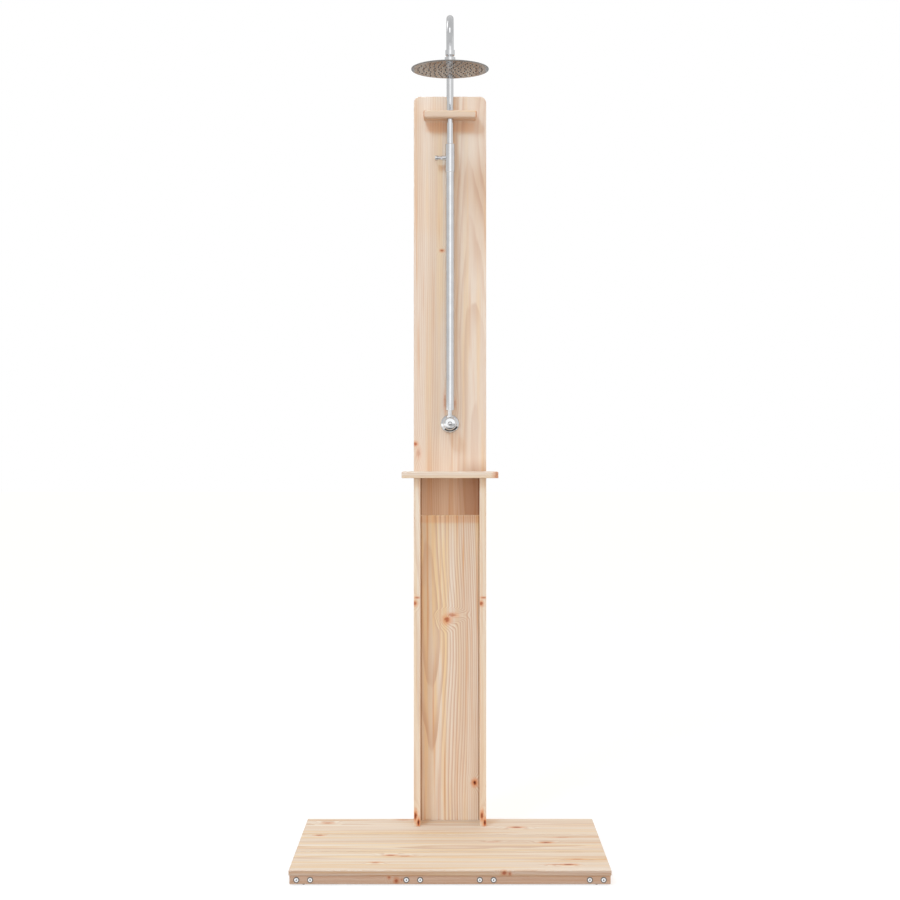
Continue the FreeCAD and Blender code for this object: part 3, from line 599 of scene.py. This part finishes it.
class GeometryTree(Tree):
    """A tree whose named inputs are given with their values."""

    def __init__(self, name, inputs):
        group = bpy.data.node_groups.new(name, "GeometryNodeTree")
        super().__init__(group)
        kinds = {float: "Float", int: "Int", Vector: "Vector", bpy.types.Material: "Material"}
        for direction in ("INPUT", "OUTPUT"):
            group_sockets(group, direction, [("Geometry", "Geometry")])
        self.values = {}
        for label, value in inputs.items():
            kind = "NodeSocket" + kinds[type(value)]
            socket = group.interface.new_socket(name=label, in_out="INPUT", socket_type=kind)
            self.values[socket.identifier] = value
        self.given = self.add("NodeGroupInput").outputs

    def math(self, operation, *values):
        return self.add("ShaderNodeMath", *values, operation=operation).outputs[0]

    def shifted(self, mesh, height):
        """A mesh moved along Z."""
        where = self.add("ShaderNodeCombineXYZ", 0.0, 0.0, height).outputs[0]
        values = {"Geometry": mesh, "Translation": where}
        return self.named("GeometryNodeTransform", values).outputs[0]

    def lathe(self, sides, outline):
        """A closed solid round Z through (radius, height) rings, from its foot to its top."""
        bands = []
        for below, above in zip(outline, outline[1:]):
            depth = self.math("SUBTRACT", above[1], below[1])
            band = self.named("GeometryNodeMeshCone", {
                "Vertices": sides, "Radius Top": above[0], "Radius Bottom": below[0],
                "Depth": depth,
            }, fill_type="NONE")
            bands.append(self.shifted(band.outputs[0], below[1]))
        for radius, height in (outline[0], outline[-1]):
            values = {"Vertices": sides, "Radius": radius}
            cap = self.named("GeometryNodeMeshCircle", values, fill_type="NGON")
            bands.append(self.shifted(cap.outputs[0], height))
        values = {"Geometry": self.joined(*bands), "Distance": WELD}
        return self.named("GeometryNodeMergeByDistance", values).outputs[0]

    def aim(self):
        """Rotation that turns Z to the tree's Direction."""
        values = {"Vector": self.given["Direction"]}
        return self.named("FunctionNodeAlignRotationToVector", values, axis="Z").outputs[0]

    def repeated(self, points, instance, rotation=None):
        """An instance on each point."""
        values = {"Points": points, "Instance": instance, "Rotation": rotation}
        return self.named("GeometryNodeInstanceOnPoints", values).outputs[0]

    def painted(self, mesh, label):
        """A mesh with the material of one of the tree's inputs."""
        values = {"Geometry": mesh, "Material": self.given[label]}
        return self.named("GeometryNodeSetMaterial", values).outputs[0]

    def joined(self, *meshes):
        node = self.add("GeometryNodeJoinGeometry")
        for mesh in reversed(meshes):
            self.tree.links.new(mesh, node.inputs[0])
        return node.outputs[0]

    def cut(self, solid, tool):
        node = self.add("GeometryNodeMeshBoolean", operation="DIFFERENCE", solver="EXACT")
        self.join(solid, node.inputs["Mesh 1"])
        self.join(tool, node.inputs["Mesh 2"])
        return node.outputs[0]

    def close(self, geometry):
        """Realizes the instances and smooths all but the creased edges."""
        shaded = self.add("GeometryNodeRealizeInstances", geometry).outputs[0]
        angle = self.add("GeometryNodeInputMeshEdgeAngle").outputs[0]
        soft = self.add("FunctionNodeCompare", angle, CREASE, operation="LESS_THAN").outputs[0]
        for domain, smooth in (("EDGE", soft), ("FACE", True)):
            values = {"Geometry": shaded, "Shade Smooth": smooth}
            shaded = self.named("GeometryNodeSetShadeSmooth", values, domain=domain).outputs[0]
        self.add("NodeGroupOutput", shaded)


def new_object(name, data):
    """An object of a mesh, lamp or camera, linked to the scene."""
    made = bpy.data.objects.new(name, data)
    bpy.context.scene.collection.objects.link(made)
    return made


def new_mesh(name, points, faces=()):
    mesh = bpy.data.meshes.new(name)
    mesh.from_pydata([tuple(point) for point in points], [], faces)
    return mesh


def grown(name, base, tree):
    """Mesh object of a geometry node tree on a base mesh, with the modifier gone."""
    carrier = new_object(name + "_base", base)
    modifier = carrier.modifiers.new("grow", "NODES")
    modifier.node_group = tree.tree
    for identifier, value in tree.values.items():
        modifier[identifier] = value[:] if isinstance(value, Vector) else value
    bpy.context.view_layer.update()
    evaluated = carrier.evaluated_get(bpy.context.evaluated_depsgraph_get())
    mesh = bpy.data.meshes.new_from_object(evaluated)
    if not mesh.polygons:
        raise RuntimeError(name + " grew no faces")
    mesh.name = name
    bpy.data.objects.remove(carrier)
    return new_object(name, mesh)


def seat(piece, body, slot, *nodes):
    """A finished piece rides on its body and stands for its CAD nodes; the slot is not used."""
    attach(piece, body)
    if nodes:
        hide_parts(*nodes)


# ---- Screws ----------------------------------------------------------
def islands(node):
    """Low and high corner of each loose part of a CAD node, from its own vertices."""
    mesh = bmesh.new()
    mesh.from_mesh(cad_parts[node].data)
    bmesh.ops.remove_doubles(mesh, verts=mesh.verts, dist=WELD)
    left, boxes = set(mesh.verts), []
    while left:
        stack, found = [left.pop()], []
        while stack:
            vert = stack.pop()
            found.append(vert.co.copy())
            for edge in vert.link_edges:
                other = edge.other_vert(vert)
                if other in left:
                    left.remove(other)
                    stack.append(other)
        low = Vector([min(point[axis] for point in found) for axis in range(3)])
        high = Vector([max(point[axis] for point in found) for axis in range(3)])
        boxes.append((low, high))
    mesh.free()
    return sorted(boxes, key=lambda box: tuple(box[0]))


def screw_tree(name, sizes, direction, recess, materials):
    """Screws whose heads face a direction, each turned by its own angle."""
    inputs = {label: float(value) for label, value in sizes.items()}
    inputs.update({"Direction": direction, "Seed": 7})
    inputs.update(materials)
    t = GeometryTree(name, inputs)
    given = t.given

    def share(label, part):
        return t.math("MULTIPLY", given[label], part)

    flange = t.lathe(24, [
        (share("Shank Radius", 0.2), share("Length", -1.0)),
        (given["Shank Radius"], share("Length", -0.9)),
        (given["Shank Radius"], 0.0),
        (given["Flange Radius"], 0.0),
        (given["Flange Radius"], share("Head Height", 0.2)),
        (given["Crown Radius"], share("Head Height", 0.38)),
    ])
    crown = t.lathe(24, [
        (given["Crown Radius"], share("Head Height", 0.38)),
        (share("Crown Radius", 0.96), share("Head Height", 0.72)),
        (share("Crown Radius", 0.80), given["Head Height"]),
    ])
    tool_low = share("Head Height", 0.45)
    if recess == "hexagon":
        half = share("Recess Width", 0.5)
        tool = t.lathe(6, [(half, tool_low), (half, share("Head Height", 1.5))])
    else:
        tool = cross_tool(t, given["Recess Width"], given["Head Height"], tool_low)
    crown = t.cut(crown, tool)
    pieces = [t.painted(flange, "Flange Material"), t.painted(crown, "Crown Material")]
    # The dark hexagon on the socket's floor is painted shade for the socket's depth.
    if recess == "hexagon":
        inner = t.math("MULTIPLY", half, 0.96)
        floor = t.lathe(6, [(inner, share("Head Height", part)) for part in (0.42, 0.52)])
        pieces.append(t.painted(floor, "Socket Shade Material"))
    head = t.joined(*pieces)
    spin = t.named("FunctionNodeRandomValue", {"Seed": given["Seed"]}, data_type="FLOAT")
    spin.inputs[3].default_value = 2 * math.pi
    spin_angle = t.add("ShaderNodeCombineXYZ", 0.0, 0.0, spin.outputs[1]).outputs[0]
    settings = {"rotation_space": "LOCAL"}
    rotation = t.add("FunctionNodeRotateRotation", t.aim(), spin_angle, **settings).outputs[0]
    t.close(t.repeated(given["Geometry"], head, rotation))
    return t


def cross_tool(t, width, height, low):
    """Two crossed bars, the tool of a cross recess."""
    thin = t.math("MULTIPLY", width, 0.22)
    middle = t.math("ADD", low, t.math("MULTIPLY", height, 0.5))
    bars = []
    for size in ((width, thin, height), (thin, width, height)):
        size = t.add("ShaderNodeCombineXYZ", *size).outputs[0]
        bar = t.named("GeometryNodeMeshCube", {"Size": size}).outputs[0]
        bars.append(t.shifted(bar, middle))
    union = t.add("GeometryNodeMeshBoolean", operation="UNION", solver="EXACT")
    for bar in bars:
        t.tree.links.new(bar, union.inputs["Mesh 2"])
    return union.outputs[0]


def screw_set(node, direction, recess, sizes, materials):
    """Screws on the wood where the CAD node has them, heads towards a direction."""
    axis = max(range(3), key=lambda k: abs(direction[k]))
    points = []
    for low, high in islands(node):
        place = (low + high) / 2
        face = high if direction[axis] > 0 else low
        place[axis] = face[axis] - direction[axis] * sizes["Head Height"]
        points.append(place)
    tree = screw_tree(node + "_tree", sizes, direction, recess, materials)
    piece = grown(node + "_detailed", new_mesh(node, points), tree)
    seat(piece, "post", "zinc_screws", node)


def drive_screws():
    sizes = bpy.context.scene.shower_screws
    made = finishes()
    bright = {"Flange Material": made["zinc_screws"], "Crown Material": made["zinc_screws"]}
    # The flanges' dark colour is partly painted shade round each head.
    dull = {
        "Flange Material": made["zinc_flange"], "Crown Material": made["zinc_screws"],
        "Socket Shade Material": made["zinc_socket"],
    }
    flange = {
        "Flange Radius": sizes.flange_radius, "Crown Radius": sizes.crown_radius,
        "Head Height": sizes.head_height, "Recess Width": sizes.socket,
        "Shank Radius": sizes.shank_radius, "Length": 45 * MM,
    }
    wood = {
        "Flange Radius": sizes.wood_head_radius, "Crown Radius": sizes.wood_head_radius * 0.85,
        "Head Height": sizes.wood_head_height, "Recess Width": sizes.wood_head_radius,
        "Shank Radius": sizes.wood_shank_radius,
    }
    screw_set("front_rail_screws", FRONT, "hexagon", flange, dull)
    screw_set("back_rail_screws", BACK, "hexagon", flange, dull)
    for node, direction, reach in (
        ("deck_screws", DOWN, 30 * MM), ("post_base_screws", DOWN, 62 * MM),
        ("back_board_screws", BACK, 45 * MM), ("shelf_screws", BACK, 45 * MM),
        ("guide_bar_screws", BACK, 48 * MM),
    ):
        screw_set(node, direction, "cross", dict(wood, Length=reach), bright)


# ---- Spray nozzles ---------------------------------------------------
def nozzle_tree(sizes, material):
    """Nozzles on a centre point and on rings, each filled at one spacing along its arc."""
    t = GeometryTree("spray_nozzles", {
        "Ring Pitch": sizes.ring_pitch, "Arc Pitch": sizes.arc_pitch,
        "Base Radius": sizes.base_radius, "Tip Radius": sizes.tip_radius,
        "Height": sizes.height, "Bore Radius": sizes.bore_radius, "Material": material,
    })
    given = t.given
    rings = [given["Geometry"]]
    for number in range(1, sizes.ring_count + 1):
        radius = t.math("MULTIPLY", given["Ring Pitch"], float(number))
        way_round = t.math("MULTIPLY", radius, 2 * math.pi)
        count = t.math("ROUND", t.math("DIVIDE", way_round, given["Arc Pitch"]))
        values = {"Vertices": count, "Radius": radius}
        circle = t.named("GeometryNodeMeshCircle", values).outputs[0]
        values = {"Geometry": circle, "Offset": middle_of(t)}
        rings.append(t.named("GeometryNodeSetPosition", values).outputs[0])
    low = t.math("MULTIPLY", given["Height"], -1.0)
    cone = t.lathe(12, [(given["Tip Radius"], low), (given["Base Radius"], 0.0)])
    bore_ends = [t.math("MULTIPLY", low, share) for share in (1.5, 0.3)]
    bore = t.lathe(8, [(given["Bore Radius"], height) for height in bore_ends])
    nozzle = t.painted(t.cut(cone, bore), "Material")
    t.close(t.repeated(t.joined(*rings), nozzle))
    return t


def middle_of(t):
    """Position of the single point that the base mesh holds."""
    position = t.add("GeometryNodeInputPosition").outputs[0]
    values = {"Geometry": t.given["Geometry"]}
    sample = t.named("GeometryNodeSampleIndex", values, data_type="FLOAT_VECTOR")
    for socket in sample.inputs:
        if socket.name == "Value" and socket.enabled:
            t.join(position, socket)
    return sample.outputs[0]


def fit_nozzles():
    sizes = bpy.context.scene.shower_nozzles
    low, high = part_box("head_face_plate")
    middle = (low + high) / 2
    middle.z = low.z
    tree = nozzle_tree(sizes, finishes()["grey_silicone"])
    piece = grown("nozzle_tips_detailed", new_mesh("nozzle_centre", [middle]), tree)
    seat(piece, "rain_head", "grey_silicone", "nozzle_tips")


# ---- Valve -----------------------------------------------------------
SHARP = math.radians(32)


def turned(name, sides, outline, middle, material):
    """Closed ring turned round an axis towards the front, with sharp edges kept sharp.

    The outline is (radius, height), in millimetres, round the ring's section.
    """
    facing = FRONT.to_track_quat("Z", "Y")
    points, faces = [], []
    for step in range(sides):
        angle = 2 * math.pi * step / sides
        for radius, height in outline:
            local = Vector((radius * math.cos(angle), radius * math.sin(angle), height)) * MM
            points.append(middle + facing @ local)
    around, count = len(outline), len(points)
    for step in range(sides):
        first, second = step * around, (step + 1) * around
        for here in range(around):
            there = (here + 1) % around
            face = (first + here, second + here, second + there, first + there)
            faces.append([number % count for number in face])
    mesh = new_mesh(name, points, faces)
    mesh.shade_smooth()
    mesh.set_sharp_from_angle(angle=SHARP)
    mesh.materials.append(material)
    return new_object(name, mesh)


def domed(radius, height, low, inner, rows):
    """Points of a dome's quarter ellipse from its rim to an inner radius."""
    last = math.acos(inner / radius)
    turns = [last * row / rows for row in range(rows + 1)]
    scale = height / math.sin(last)
    return [(radius * math.cos(turn), low + scale * math.sin(turn)) for turn in turns]


def depth_of(node):
    """Depth of a CAD node from front to back, in millimetres."""
    low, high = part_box(node)
    return (high.y - low.y) / MM


def rosette_outline(tall):
    return [(15.3, 0.0), (26.0, 0.0), *domed(26.0, tall - 1.5, 1.5, 15.3, 12)]


def button_outline(tall):
    return [(0.3, 0.0), (5.9, 0.0), *domed(5.9, tall - 0.1, 0.1, 0.3, 10)]


def knob_outline(tall):
    """A hollow cap with a rounded shoulder, a recess for the button and a bore for the stem."""
    shoulder = [(x + 13.2, h) for x, h in domed(4.8, 5.6, tall - 6.0, 0.6, 7)]
    return [
        (15.5, 0.0), (18.0, 0.0), *shoulder, (6.5, tall), (6.5, tall - 2.0), (3.6, tall - 2.0),
        (3.6, tall - 4.0), (4.0, tall - 4.0), (4.0, tall - 14.5), (15.5, tall - 14.5),
    ]


def dress_valve():
    steel = finishes()["polished_steel"]
    low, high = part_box("knob_button")
    middle = (low + high) / 2
    for node, body, sides, outline in (
        ("wall_rosette", "post", 72, rosette_outline),
        ("knob_button", "valve_handle", 48, button_outline),
        ("valve_knob", "valve_handle", 72, knob_outline),
    ):
        foot = Vector((middle.x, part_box(node)[1].y, middle.z))
        piece = turned(node + "_domed", sides, outline(depth_of(node)), foot, steel)
        seat(piece, body, "polished_steel", node)
    wall = Vector((middle.x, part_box("wall_rosette")[1].y, middle.z))
    thread = grown("inlet_thread", new_mesh("thread_start", [wall]), thread_tree(steel))
    seat(thread, "post", "polished_steel")


def thread_tree(material):
    """Pipe thread: a ridge that winds round the inlet, behind the wall."""
    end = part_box("valve_body")[1].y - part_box("wall_rosette")[1].y - 0.9 * MM
    t = GeometryTree("pipe_thread", {
        "Radius": 10.48 * MM, "Pitch": 1.814 * MM, "Crest": 0.55 * MM, "Turns": 7.5, "End": end,
        "Direction": BACK, "Material": material,
    })
    given = t.given
    length = t.math("MULTIPLY", given["Pitch"], given["Turns"])
    coil = t.named("GeometryNodeCurveSpiral", {
        "Resolution": 40, "Rotations": given["Turns"], "Start Radius": given["Radius"],
        "End Radius": given["Radius"], "Height": length,
    }).outputs[0]
    values = {"Resolution": 4, "Radius": given["Crest"]}
    section = t.named("GeometryNodeCurvePrimitiveCircle", values).outputs[0]
    values = {"Curve": coil, "Profile Curve": section, "Fill Caps": True}
    ridge = t.painted(t.named("GeometryNodeCurveToMesh", values).outputs[0], "Material")
    ridge = t.shifted(ridge, t.math("SUBTRACT", given["End"], length))
    t.close(t.repeated(given["Geometry"], ridge, t.aim()))
    return t


# ---- Studio ----------------------------------------------------------
def soft_lamp(name, place, target, size, power, tint):
    data = bpy.data.lights.new(name, "AREA")
    data.shape = "RECTANGLE"
    data.size, data.size_y = size
    data.energy = power
    data.color = tint
    lamp = new_object(name, data)
    lamp.location = place
    lamp.visible_glossy = False
    lamp.rotation_mode = "QUATERNION"
    lamp.rotation_quaternion = (Vector(target) - Vector(place)).to_track_quat("-Z", "Y")


FLOOR_SIDE = 60.0
# Place, target and size of the cool lamp above the front, to its left.
KEY_LAMP = ((-1.12, -2.09, 4.14), (0.0, 0.24, 1.4), (0.75, 0.6))
# Cards that only the metal mirrors: (name, middle, facing, width, height, shade).
CARDS = (
    ("card_back", (0.0, 6.0, 3.0), FRONT, 16.0, 8.0, 0.58),
    ("card_left", (-4.0, -1.0, 2.5), (1, 0.2, 0), 6.0, 6.0, 0.84),
    ("card_over", (0.0, 0.0, 6.0), UP, 12.0, 12.0, 0.80),
    ("card_over_near", (-0.25, -1.4, 5.9), UP, 1.2, 1.2, 2.4),
    ("card_over_far", (-3.0, 2.6, 5.5), (3.0, -2.6, -3.3), 1.6, 1.6, 2.4),
    ("card_front", (0.9, -6.0, 3.035), BACK, 5.1, 3.53, 1.6),
    ("card_low_left", (-2.55, -6.0, 0.74), BACK, 5.0, 1.06, 1.6),
    ("card_low_side", (-3.0, -2.0, 0.70), (1, 0, 0), 6.0, 1.1, 1.7),
    ("card_low_right", (2.60, -6.0, 0.74), BACK, 5.0, 1.06, 0.72),
    ("card_floor", (1.0, -2.5, 0.004), UP, 4.4, 3.4, 0.12),
)


def plate(name, middle, facing, width, height, material):
    """A flat piece of the stage."""
    turn = Vector(facing).to_track_quat("Z", "Y")
    corners = [(x * width / 2, y * height / 2, 0) for x, y in ((-1, -1), (1, -1), (1, 1), (-1, 1))]
    places = [turn @ Vector(corner) + Vector(middle) for corner in corners]
    mesh = new_mesh(name, places, [(0, 1, 2, 3)])
    mesh.materials.append(material)
    made = new_object(name, mesh)
    return made


def metal_card(name, middle, facing, width, height, shade):
    """A glowing card that only mirroring surfaces see."""
    material, t = new_material(name)
    finish_material(t, t.add("ShaderNodeEmission", (shade, shade, shade, 1.0), 1.0).outputs[0])
    card = plate(name, middle, facing, width, height, material)
    card.visible_camera = False
    card.visible_diffuse = False
    card.visible_shadow = False
    card.visible_transmission = False


def seen_directly(t):
    """1 for camera, glossy and transmission rays, which see the white background."""
    path = t.add("ShaderNodeLightPath").outputs
    seen = t.math("MAXIMUM", path["Is Camera Ray"], path["Is Glossy Ray"])
    return t.math("MAXIMUM", seen, path["Is Transmission Ray"])


def studio_world(strength, tint):
    world = bpy.data.worlds.new("studio")
    world.use_nodes = True
    t = ShaderTree(world.node_tree)
    light = t.add("ShaderNodeBackground", rgba(tint), strength).outputs[0]
    white = t.add("ShaderNodeBackground", rgba(WHITE), 1.0).outputs[0]
    mixed = t.add("ShaderNodeMixShader", seen_directly(t), light, white).outputs[0]
    t.add("ShaderNodeOutputWorld", mixed)
    bpy.context.scene.world = world


def studio_floor(base):
    """Pale floor that looks white to the camera and keeps a faint shadow."""
    material, t = new_material("studio_floor")
    plain = t.add("ShaderNodeBsdfDiffuse", rgba(base)).outputs[0]
    shadowed = t.add("ShaderNodeBsdfDiffuse", (0.35, 0.35, 0.35, 1.0)).outputs[0]
    glow = t.add("ShaderNodeEmission", rgba(WHITE), 0.70).outputs[0]
    white = t.add("ShaderNodeAddShader", shadowed, glow).outputs[0]
    finish_material(t, t.add("ShaderNodeMixShader", seen_directly(t), plain, white).outputs[0])
    plate("studio_floor", (0.0, 0.0, 0.0), UP, FLOOR_SIDE, FLOOR_SIDE, material)


def studio_camera(studio):
    data = bpy.data.cameras.new("camera")
    data.lens = studio.lens
    data.sensor_width = 36.0
    data.shift_y = studio.shift
    data.clip_end = 100.0
    camera = new_object("camera", data)
    camera.location = (0.0, cad_box[0].y - studio.camera_distance, studio.camera_height)
    camera.rotation_euler = (math.pi / 2, 0.0, 0.0)
    bpy.context.scene.camera = camera


# ---- Operators -------------------------------------------------------
class SHOWERPOST_OT_tray(bpy.types.Operator):
    """Gives the tray's deck boards, rails and joists their pine"""

    bl_idname = "shower_post.tray"
    bl_label = "Tray boards"

    def execute(self, context):
        lay_boards(TRAY_BOARDS, 1)
        return {"FINISHED"}


class SHOWERPOST_OT_post(bpy.types.Operator):
    """Gives the post's boards, the shelf and the guide bar their pine"""

    bl_idname = "shower_post.post"
    bl_label = "Post boards"

    def execute(self, context):
        lay_boards(POST_BOARDS, len(TRAY_BOARDS) + 1)
        return {"FINISHED"}


class SHOWERPOST_OT_screws(bpy.types.Operator):
    """Drives the flange screws and the wood screws"""

    bl_idname = "shower_post.screws"
    bl_label = "Screws"

    def execute(self, context):
        drive_screws()
        return {"FINISHED"}


class SHOWERPOST_OT_metal(bpy.types.Operator):
    """Gives the riser, the rain head and the valve their metals and plastics"""

    bl_idname = "shower_post.metal"
    bl_label = "Metal and plastic"

    def execute(self, context):
        made = finishes()
        for name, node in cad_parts.items():
            slot = node.data.materials[0].name
            if slot in made:
                wear(name, material=made[slot])
        wear("head_top_shell", material=made["head_shell"])
        return {"FINISHED"}


class SHOWERPOST_OT_nozzles(bpy.types.Operator):
    """Fits the spray nozzles of the rain head"""

    bl_idname = "shower_post.nozzles"
    bl_label = "Spray nozzles"

    def execute(self, context):
        fit_nozzles()
        return {"FINISHED"}


class SHOWERPOST_OT_valve(bpy.types.Operator):
    """Turns the valve's rosette, knob and button and cuts the inlet's thread"""

    bl_idname = "shower_post.valve"
    bl_label = "Valve"

    def execute(self, context):
        dress_valve()
        return {"FINISHED"}


class SHOWERPOST_OT_stage(bpy.types.Operator):
    """Sets up the camera, the lamps, the pale floor and the white background"""

    bl_idname = "shower_post.stage"
    bl_label = "Studio"

    def execute(self, context):
        scene = context.scene
        studio = scene.shower_studio
        scene.view_settings.view_transform = "Standard"
        studio_camera(studio)
        soft_lamp("key_lamp", *KEY_LAMP, studio.key_power, studio.key_tint)
        for card in CARDS:
            metal_card(*card)
        studio_world(studio.ambient, studio.ambient_tint)
        studio_floor(studio.floor)
        return {"FINISHED"}


OPERATORS = (
    SHOWERPOST_OT_metal,
    SHOWERPOST_OT_tray,
    SHOWERPOST_OT_post,
    SHOWERPOST_OT_screws,
    SHOWERPOST_OT_nozzles,
    SHOWERPOST_OT_valve,
    SHOWERPOST_OT_stage,
)


class SHOWERPOST_PT_sidebar(bpy.types.Panel):
    """Lists the steps that dress the shower post"""

    bl_idname = "SHOWERPOST_PT_sidebar"
    bl_label = "Shower post"
    bl_space_type = "VIEW_3D"
    bl_region_type = "UI"
    bl_category = "Shower Post"

    def draw(self, context):
        for operator in OPERATORS:
            self.layout.operator(operator.bl_idname)


SETTINGS = {
    "shower_pine": PineSettings,
    "shower_steel": SteelSettings,
    "shower_screws": ScrewSettings,
    "shower_nozzles": NozzleSettings,
    "shower_studio": StudioSettings,
}


def register():
    for kind in (*SETTINGS.values(), *OPERATORS, SHOWERPOST_PT_sidebar):
        bpy.utils.register_class(kind)
    for name, kind in SETTINGS.items():
        setattr(bpy.types.Scene, name, bpy.props.PointerProperty(type=kind))


def unregister():
    for name in SETTINGS:
        delattr(bpy.types.Scene, name)
    for kind in (SHOWERPOST_PT_sidebar, *OPERATORS, *SETTINGS.values()):
        bpy.utils.unregister_class(kind)


def main():
    register()
    for operator in OPERATORS:
        group, name = operator.bl_idname.split(".")
        getattr(getattr(bpy.ops, group), name)()


if __name__ == "__main__":
    main()
